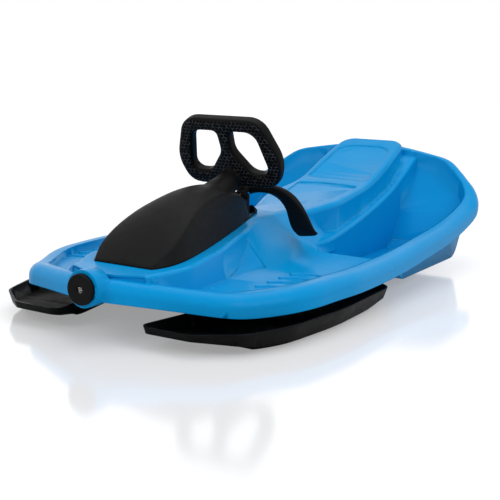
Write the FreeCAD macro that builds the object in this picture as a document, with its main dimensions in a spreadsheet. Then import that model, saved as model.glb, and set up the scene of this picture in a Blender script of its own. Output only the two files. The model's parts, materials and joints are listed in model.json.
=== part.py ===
"""Steering sled: a moulded two-seat sled steered by a wheel that turns two front skis.

Millimetres. The nose points along -Y, the rider's left is +X, +Z is up and the ground is z = 0.
"""
import FreeCAD, Part
import math
import os
import re
import Sketcher
from FreeCAD import Placement, Rotation, Vector

SIZES = [
    # Hull outline, seen from above
    ("half_width", 303, "half the beam at the widest station"),
    ("nose_y", -580, "apex of the two front edges"),
    ("nose_round", 120, "radius at the nose"),
    ("bow_half", 212, "half width at the bow corner"),
    ("bow_y", -487, "station of the bow corner"),
    ("bow_round", 90, "radius of the bow corner"),
    ("waist_half", 286, "half width behind the bow"),
    ("waist_y", -345, "station behind the bow"),
    ("waist_round", 260, "radius behind the bow"),
    ("beam_y", -190, "station where the sides run parallel"),
    ("beam_round", 500, "radius into the parallel sides"),
    ("stern_half", 312, "half width at the stern corner"),
    ("stern_y", 510, "station of the stern corner"),
    ("stern_round", 85, "radius of the stern corner"),
    ("quarter_half", 208, "half width where the tail begins"),
    ("quarter_y", 565, "station where the tail begins"),
    ("quarter_round", 150, "radius where the tail begins"),
    ("tail_y", 598, "apex of the tail"),
    ("tail_round", 400, "radius of the tail"),
    # Hull heights and walls
    ("wall", 4, "wall of the moulded hull"),
    ("rim_flat", 14, "width of the rim's flat top"),
    ("rim_flare", 22, "radius of the rim's rounded shoulder"),
    ("sheer_nose", 107, "rim height at the nose"),
    ("sheer_bow", 88, "rim height along the foot wells"),
    ("sheer_seat", 104, "rim height beside the seat"),
    ("sheer_quarter", 136, "rim height beside the backrest"),
    ("sheer_tail", 276, "rim height at the tail"),
    ("skirt_depth", 38, "height of the skirt below the rim"),
    ("foot_floor", 74, "height of the foot well floor"),
    ("leg_floor", 28, "height of the leg well floor"),
    ("foot_end_y", 25, "where the foot well floor drops"),
    ("leg_start_y", 95, "where the leg well floor begins"),
    ("leg_end_y", 410, "where the leg well floor ends"),
    ("tail_shelf", 219, "height of the shelf inside the tail"),
    ("runner_half", 150, "half the distance between the moulded rear runners"),
    ("runner_width", 36, "width of a rear runner"),
    ("runner_start", 130, "front end of a rear runner"),
    ("runner_end", 430, "rear end of a rear runner"),
    # Plinth, bridge and seat
    ("plinth_front", 111, "plinth height under the cowl's front edge"),
    ("plinth_rise", 0.093, "slope of the plinth's top towards the rear"),
    ("plinth_flare", 26, "how far the plinth's foot stands out"),
    ("plinth_lip", 12, "ledge of the plinth round the cowl"),
    ("bridge_top", 158, "height of the bridge between plinth and seat"),
    ("bridge_half", 34, "half width of the bridge's top"),
    ("bridge_foot", 120, "half width of the bridge's foot"),
    ("bridge_round", 30, "radius of the bridge's shoulders"),
    ("seat_half", 95, "half width of the seat pad"),
    ("seat_front_y", 42, "front edge of the seat pad"),
    ("seat_front_z", 146, "height of the seat pad's front edge"),
    ("seat_bend_y", 335, "where the seat turns up into the backrest"),
    ("seat_bend_z", 187, "height of that bend"),
    ("back_end_y", 568.5, "rear end of the backrest"),
    ("back_top", 280, "height of the backrest's top"),
    ("ledge_half", 118, "half width of the ledge round the seat"),
    ("form_round", 8, "rounding of the plinth's and the ledge's edges"),
    ("seat_round", 12, "rounding of the seat pad's edge"),
    ("panel_depth", 3, "depth of the recessed seat panels"),
    ("rib_radius", 3, "radius of an anti-slip rib"),
    ("rib_count", 4, "anti-slip ribs in each foot well"),
    ("rib_pitch", 42, "distance between anti-slip ribs"),
    # Cowl
    ("cowl_wall", 3, "wall of the cowl"),
    ("cowl_front_y", -482, "front edge of the cowl"),
    ("cowl_front_half", 60, "half width of the cowl's front edge"),
    ("cowl_half", 80, "half width of the cowl's foot"),
    ("cowl_tip_y", -38, "rear tip of the cowl"),
    ("cowl_top", 226, "height of the cowl's crown"),
    ("neck_end_r", 21, "radius of the neck at the wheel"),
    ("neck_root_r", 36, "radius of the neck in the cowl"),
    ("neck_length", 95, "length of the neck"),
    # Steering
    ("column_tilt", 25, "column's angle above the horizontal"),
    ("hub_y", -129, "wheel hub station"),
    ("hub_z", 234, "wheel hub height"),
    ("hub_gap", 22, "hub centre to the end of the neck"),
    ("column_r", 8, "radius of the steering column"),
    ("bush_wall", 3, "wall of the plain bushes"),
    ("run_gap", 0.05, "running clearance on the radius"),
    ("bush_length", 24, "length of the column bushes"),
    ("block_length", 30, "length of the column's lower bearing block"),
    ("block_half", 22, "half width of that block"),
    ("block_y", -322, "station of that block"),
    ("crank_throw", 40, "column axis to the crank's ball"),
    ("ball_r", 7, "radius of the crank's ball"),
    ("ball_z", 78, "height of the crank's ball"),
    ("crank_r", 5, "radius of the crank's arm"),
    ("sleeve_r", 13, "radius of the crank's sleeve"),
    ("sleeve_length", 22, "length of the crank's sleeve"),
    ("rocker_arm", 32, "rocker pivot to the ball, and to the tie bar pin"),
    ("rocker_thick", 12, "thickness of the rocker"),
    ("rocker_pin_r", 6, "radius of the rocker's pivot"),
    ("link_pin_r", 4, "radius of the link pins"),
    ("link_gap", 1.8, "play of a pin across its slot"),
    ("tie_width", 34, "width of the tie bar"),
    ("tie_thick", 4, "thickness of the tie bar"),
    ("tie_z", 48.3, "underside of the tie bar"),
    ("cross_thick", 4, "thickness of the steering cross-member"),
    ("cross_half", 150, "half length of the steering cross-member"),
    ("cross_width", 44, "width of the steering cross-member"),
    # Steering wheel, in its own plane
    ("wheel_half", 115, "half width of the wheel"),
    ("wheel_top", 127, "top of the wheel above the hub"),
    ("wheel_bottom", 16, "foot of the wheel below the hub"),
    ("wheel_thick", 26, "thickness of the wheel"),
    ("wheel_edge", 6, "rounding of the wheel's edges"),
    # Skis
    ("ski_front_y", -552, "front end of a ski"),
    ("ski_rear_y", -14, "rear end of a ski"),
    ("ski_top", 36, "height of a ski's side walls"),
    ("ski_wall", 4, "wall of a ski"),
    ("ski_flare", 11, "how far a ski's wall leans out"),
    ("ski_tip_rise", 17, "height of the ski tip's underside"),
    ("ski_sole", 9, "thickness of the running sole"),
    ("sole_inset", 9, "how far the sole stands in from the ski's edge"),
    ("king_x", 205, "ski pivot from the centre line"),
    ("king_arm", 60, "ski pivot to the tie bar pin"),
    ("king_r", 7, "radius of the ski pivot bolt's shoulder"),
    ("king_head_r", 12, "radius of its head"),
    ("king_head", 4, "thickness of its head"),
    ("king_thread_r", 5, "radius of its thread"),
    ("post_r", 17, "radius of the pivot post in a ski"),
    ("post_top", 44, "height of that post"),
    ("arm_thick", 4, "thickness of a ski's steering arm"),
    ("arm_half", 16, "half width of a ski's steering arm"),
    ("washer_thick", 1.6, "thickness of the pivot washers"),
    ("insert_r", 9, "radius of the threaded insert in the hull"),
    ("boss_r", 20, "radius of the hull's pivot bosses"),
    # Brake
    ("brake_y", -100, "brake shaft station"),
    ("brake_z", 190, "brake shaft height"),
    ("brake_r", 5, "radius of the brake shaft"),
    ("brake_hub_r", 12, "radius of the lever's hub"),
    ("brake_hub_half", 9, "half width of the lever's hub"),
    ("ear_thick", 3, "thickness of the brake bracket"),
    ("claw_reach", 206, "brake shaft to the claw's points"),
    ("claw_lean", 34.5, "claw's angle ahead of straight down"),
    ("claw_thick", 6, "thickness of the claw"),
    ("claw_half", 26, "half width of the claw's toothed end"),
    # Tow rope
    ("tow_z", 89, "height of the tow handle"),
    ("tow_front_y", -590, "front face of the tow handle"),
    ("tow_r", 25.5, "radius of the tow handle's disc"),
    ("tow_disc", 8, "thickness of that disc"),
    ("tow_stem_r", 13, "radius of the tow handle's stem"),
    ("tow_stem", 24, "length of that stem"),
    ("nozzle_r", 31, "radius of the nose boss"),
    ("nozzle_rear_y", -550, "rear end of the nose boss"),
    ("tow_gap", 0.6, "clearance round the tow handle"),
    ("rope_r", 2.5, "radius of the tow rope"),
    ("knot_r", 6, "radius of the rope's knot"),
    ("reel_y", -512, "reel axle station"),
    ("reel_pitch_r", 20, "radius of the wound rope"),
    ("reel_r", 27, "radius of the reel's flanges"),
    ("reel_wall", 2.5, "wall of the reel's housing"),
    ("reel_bottom", 74, "underside of the reel's housing"),
    ("reel_top", 100, "top of the reel's cover"),
    ("axle_r", 5, "radius of the reel's axle"),
    ("screw_r", 2.5, "radius of the screws"),
    ("screw_head_r", 5, "radius of the screw heads"),
    ("screw_head", 3, "height of the screw heads"),
]

doc = FreeCAD.newDocument("steering_sled")
sheet = doc.addObject("Spreadsheet::Sheet", "Sizes")
for row, (alias, value, note) in enumerate(SIZES, start=1):
    sheet.set(f"A{row}", note)
    sheet.set(f"B{row}", str(value))
    sheet.setAlias(f"B{row}", alias)
doc.recompute()


class Dimensions:
    """The sheet's values by name."""

    def __getattr__(self, alias):
        return float(sheet.get(alias))


dim = Dimensions()
ALIASES = {alias for alias, value, note in SIZES}
X, Y, Z = Vector(1, 0, 0), Vector(0, 1, 0), Vector(0, 0, 1)
REACH = 400          # half length of cutting tools that pass right through the sled
DEEP, HIGH = -60, 420
LEVER_POINTS = 16    # points round the brake lever's section
LEVER_SQUARE = 0.6   # 1 makes that section an ellipse, 0 a rectangle
CROWN_AT = 0.53      # where the cowl's crown is highest, as a share of its length
UPWARD = 0.35        # a face whose normal rises more than this counts as an upper face
nodes = {}


# Helpers for shapes
def bind(obj, **links):
    """Tie properties of an object to the sheet; a link is a formula in the sheet's names."""
    for prop, formula in links.items():
        text = re.sub(r"[a-z][a-z_]*",
                      lambda m: "Sizes." + m.group() if m.group() in ALIASES else m.group(), formula)
        obj.setExpression(prop, text)
    return obj


def keep(node, obj):
    obj.Label = node
    nodes[node] = obj
    return obj


def piece(node, shape):
    """A sub-part whose form is built from curves and lofts."""
    obj = doc.addObject("Part::Feature", node)
    obj.Shape = shape
    return keep(node, obj)


def rod(name, radius, length, base, axis):
    obj = doc.addObject("Part::Cylinder", name)
    bind(obj, Radius=radius, Height=length)
    obj.Placement = Placement(base, Rotation(Z, axis))
    return obj


def fused(name, *parts):
    obj = doc.addObject("Part::MultiFuse", name)
    obj.Shapes = list(parts)
    return obj


def cut(name, base, *tools):
    obj = doc.addObject("Part::Cut", name)
    obj.Base = base
    obj.Tool = tools[0] if len(tools) == 1 else fused(name + "_tools", *tools)
    return obj


def tube(name, outer, inner, length, base, axis):
    return cut(name, rod(name + "_outside", outer, length, base, axis),
               rod(name + "_bore", inner, length, base, axis))


def rounded(points, place):
    """Closed wire through (u, v, radius) corners, each rounded by an arc; place maps (u, v) to space."""
    count = len(points)
    corners = []
    for i, (u, v, radius) in enumerate(points):
        here = Vector(u, v, 0)
        before = (Vector(*points[i - 1][:2], 0) - here).normalize()
        after = (Vector(*points[(i + 1) % count][:2], 0) - here).normalize()
        half = before.getAngle(after) / 2
        reach = radius / math.tan(half)
        inward = (before + after)
        middle = here
        if radius > 0:
            middle = here + inward.normalize() * (radius / math.sin(half) - radius)
        corners.append((here + before * reach, middle, here + after * reach, radius))
    edges = []
    for i, (start, middle, end, radius) in enumerate(corners):
        if radius > 0:
            edges.append(Part.Arc(place(start), place(middle), place(end)).toShape())
        following = corners[(i + 1) % count][0]
        if (following - end).Length > 1e-6:
            edges.append(Part.LineSegment(place(end), place(following)).toShape())
    return Part.Wire(edges)


def flat(point):
    return Vector(point.x, point.y, 0)


def upright(point):
    """(y, z) corners to the left end of the cutting range."""
    return Vector(-REACH, point.x, point.y)


def mirrored(half):
    """Both halves of a symmetric outline from its +X half; end points on the centre line count once."""
    return half + [(-u, v, r) for u, v, r in reversed(half) if abs(u) > 1e-6]


def prism(wire, low=DEEP, high=HIGH):
    face = Part.Face(wire)
    face.translate(Vector(0, 0, low))
    return face.extrude(Vector(0, 0, high - low))


def inset(wire, distance):
    return wire if abs(distance) < 1e-9 else wire.makeOffset2D(-distance)


def curve_through(points):
    curve = Part.BSplineCurve()
    curve.interpolate([Vector(-REACH, y, z) for y, z in points])
    return curve


def lowered(points, depth):
    """The points of a side-view curve moved square to it by depth."""
    curve = curve_through(points)
    moved = []
    for y, z in points:
        tangent = curve.tangent(curve.parameter(Vector(-REACH, y, z)))[0]
        normal = Vector(0, -tangent.z, tangent.y)
        moved.append((y - normal.y * depth, z - normal.z * depth))
    return moved


def below(points, bottom=DEEP):
    """Everything under a smooth side-view curve, across the sled."""
    curve = curve_through(points).toShape()
    first, last = curve.Vertexes[0].Point, curve.Vertexes[-1].Point
    low_first, low_last = Vector(-REACH, first.y, bottom), Vector(-REACH, last.y, bottom)
    sides = [(last, low_last), (low_last, low_first), (low_first, first)]
    wire = Part.Wire([curve] + [Part.LineSegment(a, b).toShape() for a, b in sides])
    return Part.Face(wire).extrude(Vector(2 * REACH, 0, 0))


def below_corners(points, bottom=DEEP):
    """Everything under a side-view line of rounded corners, across the sled."""
    closed = points + [(points[-1][0], bottom, 0), (points[0][0], bottom, 0)]
    return Part.Face(rounded(closed, upright)).extrude(Vector(2 * REACH, 0, 0))


def union(*shapes):
    return shapes[0].fuse(list(shapes[1:]))


def solid_of(shape):
    return shape.removeSplitter()


def faces_up(face):
    u0, u1, v0, v1 = face.ParameterRange
    return face.normalAt((u0 + u1) / 2, (v0 + v1) / 2).z > UPWARD


def softened(body, radius, rear=REACH * 2):
    """The body with the outer edges of its upper faces rounded, but for edges behind a station."""
    uses = {}
    for face in filter(faces_up, body.Faces):
        for edge in face.Edges:
            uses.setdefault(edge.hashCode(), []).append(edge)
    edges = [found[0] for found in uses.values() if len(found) == 1 and found[0].BoundBox.YMin < rear]
    return body.makeFillet(radius, edges)


# Hull outline and rim
def hull_wire(distance=0.0):
    half = [(0, dim.nose_y, dim.nose_round), (dim.bow_half, dim.bow_y, dim.bow_round),
            (dim.waist_half, dim.waist_y, dim.waist_round), (dim.half_width, dim.beam_y, dim.beam_round),
            (dim.stern_half, dim.stern_y, dim.stern_round), (dim.quarter_half, dim.quarter_y, dim.quarter_round),
            (0, dim.tail_y, dim.tail_round)]
    return inset(rounded(mirrored(half), flat), distance)


SHEER = [(dim.nose_y - 20, dim.sheer_nose + 3), (-520, dim.sheer_bow + 10), (-470, dim.sheer_bow + 1),
         (-340, dim.sheer_bow), (-120, dim.sheer_bow + 1), (30, dim.sheer_bow + 5), (170, dim.sheer_seat),
         (300, dim.sheer_seat + 13), (400, dim.sheer_quarter), (480, dim.sheer_quarter + 33),
         (528, dim.sheer_tail - 43), (558, dim.sheer_tail - 14), (dim.tail_y + 20, dim.sheer_tail + 2)]


def crowned(distance, depth, radius):
    """All that lies inside the outline at a distance and under the sheer, its top edge rounded."""
    body = prism(hull_wire(distance)).common(below(lowered(SHEER, depth) if depth else SHEER))
    return softened(body, radius)



def rim_shell():
    """Hooked rim with a rounded shoulder and a skirt, and the wall that joins it to the well floors."""
    rim_width = dim.rim_flare + dim.rim_flat
    well = prism(hull_wire(rim_width))
    leg = prism(hull_wire(rim_width - dim.wall))
    outside = crowned(0, 0, dim.rim_flare).cut(below([(y, z - dim.skirt_depth) for y, z in SHEER]))
    inside = crowned(dim.wall, dim.wall, dim.rim_flare - dim.wall).cut(leg)
    rim = outside.cut([inside, well])
    wall = leg.cut(well).common(below(SHEER)).cut(below_corners(floor_line(dim.wall)))
    return rim, wall


def floor_line(drop):
    """Side view of the well floors, lowered square to themselves by drop."""
    slope_front = math.atan2(dim.foot_floor - dim.leg_floor, dim.leg_start_y - dim.foot_end_y)
    shelf_y = 548
    slope_rear = math.atan2(dim.tail_shelf - dim.leg_floor, shelf_y - dim.leg_end_y)
    step_front, step_rear = drop * math.tan(slope_front / 2), drop * math.tan(slope_rear / 2)
    return [(dim.nose_y - 60, dim.foot_floor - drop, 0), (dim.foot_end_y - step_front, dim.foot_floor - drop, 25),
            (dim.leg_start_y - step_front, dim.leg_floor - drop, 25),
            (dim.leg_end_y + step_rear, dim.leg_floor - drop, 50),
            (shelf_y + step_rear, dim.tail_shelf - drop, 25), (dim.tail_y + 60, dim.tail_shelf + 12 - drop, 0)]


def floor_shell():
    reach = prism(hull_wire(dim.rim_flare + dim.rim_flat))
    return reach.common(below_corners(floor_line(0))).cut(below_corners(floor_line(dim.wall)))


# Plinth, bridge and seat, each as an outer form and the hollow under it
def plinth_height(y):
    return dim.plinth_front + dim.plinth_rise * (y - dim.cowl_front_y)


def cowl_half_at(y):
    """Half width of the cowl's foot: wide behind its front edge, then tapering to the rear tip."""
    widest = dim.cowl_front_y + 52
    if y < widest:
        share = (y - dim.cowl_front_y) / (widest - dim.cowl_front_y)
        return dim.cowl_front_half + (dim.cowl_half - dim.cowl_front_half) * math.sin(share * math.pi / 2)
    share = (y - widest) / (dim.cowl_tip_y - widest)
    return dim.cowl_half * (1 - share ** 1.35) + 3


def plinth_form(shrink):
    lip = dim.plinth_lip
    stations = [(-436, 60), (-330, 200), (-200, 200), (-95, 90)]
    half = [(0, -562, 0), (48, -562, 12), (dim.cowl_front_half + lip - 4, dim.cowl_front_y - 8, 30)]
    half += [(cowl_half_at(y) + lip, y, r) for y, r in stations]
    half += [(22, dim.cowl_tip_y + lip, 18), (0, dim.cowl_tip_y + lip, 0)]
    top = rounded(mirrored(half), flat)
    foot = top.makeOffset2D(dim.plinth_flare - shrink)
    top = inset(top, shrink)
    foot.translate(Vector(0, 0, dim.foot_floor - 2 * dim.wall))
    top.translate(Vector(0, 0, 190))
    body = Part.makeLoft([foot, top], True, True)
    drop = shrink
    line = [(-640, dim.plinth_front - 5 - drop, 0),
            (dim.cowl_front_y - 10, plinth_height(dim.cowl_front_y - 10) - drop, 150),
            (60, plinth_height(60) - drop, 0)]
    return body.common(below_corners(line))


def plinth():
    return softened(plinth_form(0), dim.form_round)


def bridge_form(shrink):
    low = dim.foot_floor - 2 * dim.wall
    side = shrink * 1.2
    profile = [(dim.bridge_foot - side, low, 0),
               (dim.bridge_half - shrink / 2, dim.bridge_top - shrink, dim.bridge_round),
               (-dim.bridge_half + shrink / 2, dim.bridge_top - shrink, dim.bridge_round),
               (-dim.bridge_foot + side, low, 0)]
    front = -190
    wire = rounded(profile, lambda p: Vector(p.x, front, p.y))
    ridge = Part.Face(wire).extrude(Vector(0, dim.seat_front_y + 60 - front, 0))
    saddle = dim.cowl_tip_y + 20
    line = [(front - 20, plinth_height(front - 20) - shrink, 0), (saddle, plinth_height(saddle) - shrink, 150),
            (saddle + 200, plinth_height(saddle) - shrink, 0)]
    return ridge.common(below_corners(line))


def ledge_form(shrink):
    half = [(0, -75, 0), (50, -75, 45), (dim.ledge_half, 60, 150), (dim.ledge_half, 470, 200),
            (130, 600, 0), (0, 600, 0)]
    rises = [(-90, -6), (60, 17), (175, 35), (315, 66), (435, 104), (503, 140), (540, 164), (610, 178)]
    top = [(y, dim.foot_floor + rise) for y, rise in rises]
    cover = below(lowered(top, shrink) if shrink else top)
    return prism(inset(rounded(mirrored(half), flat), shrink)).common(cover)


def seat_line(drop):
    rise = (dim.seat_bend_z - dim.seat_front_z) / (dim.seat_bend_y - dim.seat_front_y)
    front = dim.seat_front_y - 60
    return [(front, dim.seat_front_z - 60 * rise - drop, 0), (dim.seat_bend_y, dim.seat_bend_z - drop, 400),
            (dim.back_end_y + 20, dim.back_top + 9 - drop, 0)]


def seat_form(shrink):
    half = [(0, dim.seat_front_y, 0), (60, dim.seat_front_y, 48),
            (dim.seat_half, 160, 120), (dim.seat_half, 440, 150),
            (84, dim.back_end_y, 40), (0, dim.back_end_y, 0)]
    return prism(inset(rounded(mirrored(half), flat), shrink)).common(below_corners(seat_line(shrink)))


def seat_panels():
    """Shallow recesses in the seat pad: a leaf under the rider and a rounded panel on the backrest."""
    leaf = [(0, 112, 50), (56, 160, 40), (78, 294, 10), (0, 314, 200), (-78, 294, 10), (-56, 160, 40)]
    back = [(78, 338, 14), (70, 520, 45), (-70, 520, 45), (-78, 338, 14)]
    under = below_corners(seat_line(dim.panel_depth))
    return [prism(rounded(outline, flat), 60).cut(under) for outline in (leaf, back)]


def foot_ribs():
    """Curved anti-slip ribs across each foot well."""
    ribs = []
    for side in (1, -1):
        for i in range(int(dim.rib_count)):
            y = -330 + i * dim.rib_pitch
            ends = [Vector(side * 178, y - 14, dim.foot_floor), Vector(side * 214, y + 8, dim.foot_floor),
                    Vector(side * 250, y - 10, dim.foot_floor)]
            path = Part.Wire(Part.Arc(*ends).toShape())
            start = Part.Wire(Part.Circle(ends[0], path.Edges[0].tangentAt(path.Edges[0].FirstParameter),
                                          dim.rib_radius).toShape())
            ribs.append(path.makePipeShell([start], True, True))
    return ribs


def rear_runners():
    rails = []
    low, high = 0, dim.leg_floor - dim.wall / 2
    line = [(dim.runner_start, high, 0), (dim.runner_start + 30, low, 40), (dim.runner_end - 40, low, 40),
            (dim.runner_end, high, 0)]
    for side in (1, -1):
        left = side * dim.runner_half - dim.runner_width / 2
        wire = rounded(line, lambda p: Vector(left, p.x, p.y))
        rails.append(Part.Face(wire).extrude(Vector(dim.runner_width, 0, 0)))
    return rails


def cylinder(radius, length, base, axis=Z):
    return Part.makeCylinder(radius, length, base, axis)


# Places that several pieces share
tilt = math.radians(dim.column_tilt)
COLUMN = Vector(0, math.cos(tilt), math.sin(tilt))        # along the column, towards the rider
WHEEL_UP = Vector(0, -math.sin(tilt), math.cos(tilt))     # up, in the wheel's plane
HUB = Vector(0, dim.hub_y, dim.hub_z)


def on_column(distance):
    """Point on the column's axis, measured forward and down from the hub."""
    return HUB - COLUMN * distance


crank_at = (dim.hub_z - dim.ball_z - dim.crank_throw * math.cos(tilt)) / math.sin(tilt)
column_length = crank_at + dim.sleeve_length / 2
BALL = on_column(crank_at) - WHEEL_UP * dim.crank_throw
rocker_y = BALL.y + dim.rocker_arm
link_y = rocker_y + dim.rocker_arm
king_y = link_y + dim.king_arm
hull_under = dim.foot_floor - dim.wall
boss_low = dim.post_top + dim.arm_thick + dim.washer_thick
SIDES = (("left", 1), ("right", -1))
reel_x = -dim.reel_pitch_r
cross_y = rocker_y - dim.cross_width / 2 + 6
cross_low = hull_under - dim.cross_thick
bolt_x = dim.cross_half - 12


def hull():
    ledge = softened(ledge_form(0), dim.form_round, dim.tail_y)
    seat = softened(seat_form(0), dim.seat_round)
    forms = union(plinth(), bridge_form(0), ledge, seat).cut(below_corners(floor_line(dim.wall)))
    hollow = union(plinth_form(dim.wall), bridge_form(dim.wall), ledge_form(dim.wall), seat_form(dim.wall))
    shell = union(floor_shell(), forms).cut(hollow).common(prism(hull_wire(dim.rim_flare + dim.wall)))
    window = Part.makeBox(52, 95, 90, Vector(-26, BALL.y - 62, hull_under + 8))
    claw_slot = Part.makeBox(dim.claw_thick + 8, 60, 60, Vector(-dim.claw_thick / 2 - 4, dim.brake_y - 48, 100))
    shell = shell.cut(seat_panels() + [window, claw_slot])
    rim, wall = rim_shell()
    added = [wall] + foot_ribs() + rear_runners()
    for name, side in SIDES:
        added.append(cylinder(dim.boss_r, hull_under - boss_low + 1, Vector(side * dim.king_x, king_y, boss_low)))
    for x in (reel_x - 18, reel_x + 18):
        added.append(cylinder(5, 8, Vector(x, dim.reel_y, dim.reel_top)))
    shell = union(shell, *added)
    sockets = [cylinder(dim.screw_r, hull_under + 2 - cross_low, Vector(side * bolt_x, cross_y, cross_low))
               for name, side in SIDES]
    sockets += [cylinder(dim.insert_r, hull_under - boss_low - 2, Vector(side * dim.king_x, king_y, boss_low))
               for name, side in SIDES]
    nozzle_front = Vector(0, dim.tow_front_y + dim.tow_disc, dim.tow_z)
    nozzle = cylinder(dim.nozzle_r, dim.nozzle_rear_y - nozzle_front.y, nozzle_front, Y)
    stem_bore = cylinder(dim.tow_stem_r + dim.tow_gap, dim.tow_stem + 5, nozzle_front - Y, Y)
    rope_way = cylinder(2 * dim.rope_r, dim.reel_y - nozzle_front.y, nozzle_front, Y)
    reel_room = cylinder(dim.reel_r + dim.reel_wall + 3, dim.reel_top - hull_under + 6,
                         Vector(reel_x, dim.reel_y, hull_under - 6))
    shell = union(shell.cut(sockets), rim, nozzle).cut([stem_bore, rope_way, reel_room])
    return solid_of(shell)


piece("hull", hull())


# Cowl with its neck
def cowl_section(y, shrink):
    """Closed cross-section of the hood at a station: flat foot, steep sides and a crowned top."""
    length = dim.cowl_tip_y - dim.cowl_front_y
    share = (y - dim.cowl_front_y) / length
    foot_z = plinth_height(y) + 0.3
    half = cowl_half_at(y) - shrink
    rise = math.sin(min(share / CROWN_AT, 1) * math.pi / 2)
    fall = math.cos(max(share - CROWN_AT, 0) / (1 - CROWN_AT) * math.pi / 2) ** 0.9
    top = foot_z + 4 + (dim.cowl_top - foot_z - 4) * rise * fall
    top -= shrink
    shoulder_half = max(half * (0.94 - 0.16 * rise), 1.5)
    shoulder = foot_z + (top - foot_z) * 0.82
    low = foot_z - (1 if shrink else 0)
    a, b = Vector(half, y, low), Vector(shoulder_half, y, shoulder)
    c, d = Vector(-shoulder_half, y, shoulder), Vector(-half, y, low)
    edges = [Part.LineSegment(d, a).toShape(), Part.LineSegment(a, b).toShape(),
             Part.Arc(b, Vector(0, y, top), c).toShape(), Part.LineSegment(c, d).toShape()]
    return Part.Wire(edges)


def hood(shrink):
    first, last = dim.cowl_front_y + shrink, dim.cowl_tip_y - 4 - shrink
    stations = [first + (last - first) * k for k in (0, 0.1, 0.25, 0.42, 0.6, 0.75, 0.88, 1)]
    return Part.makeLoft([cowl_section(y, shrink) for y in stations], True, False)


def cowl():
    neck_top = on_column(dim.hub_gap)
    neck = Part.makeCone(dim.neck_end_r, dim.neck_root_r, dim.neck_length, neck_top, COLUMN * -1)
    hollow_length = dim.neck_length - dim.bush_length
    neck_hollow = Part.makeCone(dim.neck_end_r - dim.cowl_wall, dim.neck_root_r - dim.cowl_wall,
                                hollow_length, neck_top - COLUMN * dim.bush_length, COLUMN * -1)
    seat_r = dim.column_r + dim.bush_wall
    under = below_corners([(-640, plinth_height(-640), 0), (60, plinth_height(60), 0)])
    shell = hood(0).fuse([neck]).cut(hood(dim.cowl_wall)).cut(neck_hollow).cut(under)
    shell = shell.cut(cylinder(seat_r, dim.bush_length + 2, on_column(dim.hub_gap - 1), COLUMN * -1))
    slot_half = dim.brake_hub_half + 10
    brake_slot = Part.makeBox(2 * slot_half, 62, 100, Vector(-slot_half, dim.brake_y - 22, dim.brake_z - 38))
    return solid_of(shell.cut(brake_slot))


piece("cowl", cowl())


# Steering wheel: a rounded yoke with two hand openings, in the plane square to the column
def on_wheel(point):
    return HUB + X * point.x + WHEEL_UP * point.y


def steering_wheel():
    top, half, low = dim.wheel_top, dim.wheel_half, dim.wheel_bottom
    outline = [(half * 0.74, top, 40), (half * 1.03, 40, 70), (half * 0.86, -low, 34)]
    opening = [(14, top - 26, 10), (half * 0.6, top - 26, 26), (half * 0.77, 13, 16), (46, 13, 26), (12, 58, 30)]
    wires = [rounded(outline + [(-u, v, r) for u, v, r in reversed(outline)], on_wheel),
             rounded(opening, on_wheel),
             rounded([(-u, v, r) for u, v, r in reversed(opening)], on_wheel)]
    depth = COLUMN * dim.wheel_thick
    body = Part.Face(wires[0]).extrude(depth)
    for wire in wires[1:]:
        body = body.cut(Part.Face(wire).extrude(depth))
    body.translate(COLUMN * (-dim.wheel_thick / 2))
    faces_at = dim.wheel_thick / 2
    rims = [e for e in body.Edges
            if abs(abs((e.valueAt(e.FirstParameter) - HUB).dot(COLUMN)) - faces_at) < 1e-3
            and abs(abs((e.valueAt(e.LastParameter) - HUB).dot(COLUMN)) - dim.wheel_thick / 2) < 1e-3
            and abs((e.valueAt(e.FirstParameter) - e.valueAt(e.LastParameter)).dot(COLUMN)) < 1e-3]
    body = body.makeFillet(dim.wheel_edge, rims)
    hub_front = dim.hub_gap - 1
    hub = Part.makeCone(dim.neck_end_r, dim.neck_end_r + 3, hub_front + 2, on_column(hub_front), COLUMN)
    body = body.fuse(hub)
    return solid_of(body.cut(cylinder(dim.column_r, 60, on_column(40), COLUMN)).removeSplitter())


def wheel_with_blind_hub():
    body = steering_wheel()
    cap = cylinder(dim.column_r + 2, dim.wheel_thick / 2 - 2, HUB + COLUMN * 2, COLUMN)
    return solid_of(body.fuse(cap))


piece("steering_wheel", wheel_with_blind_hub())
pin_base = on_column(crank_at - dim.sleeve_length / 4) - X * (dim.sleeve_r - 1)
keep("steering_column", cut("steering_column",
                            rod("column_shaft", "column_r", str(column_length + 2), on_column(column_length), COLUMN),
                            rod("column_pin_hole", "link_pin_r / 2", "2 * sleeve_r - 2", pin_base, X)))
keep("column_upper_bush", tube("column_upper_bush", "column_r + bush_wall", "column_r + run_gap", "bush_length",
                               on_column(dim.hub_gap + dim.bush_length), COLUMN))
block_at = (dim.hub_y - dim.block_y) / math.cos(tilt)
keep("column_lower_bush", tube("column_lower_bush", "column_r + bush_wall", "column_r + run_gap", "block_length",
                               on_column(block_at + dim.block_length / 2), COLUMN))


def bearing_block():
    """Saddle on the plinth that carries the column's lower bush."""
    front, rear = dim.block_y - dim.block_length / 2, dim.block_y + dim.block_length / 2
    crown = on_column(block_at).z + dim.column_r + dim.bush_wall + 7
    line = [(front, plinth_height(front), 0), (rear, plinth_height(rear), 0),
            (rear, crown, 6), (front, crown, 6)]
    wire = rounded(line, lambda p: Vector(-dim.block_half, p.x, p.y))
    body = Part.Face(wire).extrude(Vector(2 * dim.block_half, 0, 0))
    return solid_of(body.cut(cylinder(dim.column_r + dim.bush_wall, 120, on_column(block_at + 60), COLUMN)))


piece("column_bearing_block", bearing_block())


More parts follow.
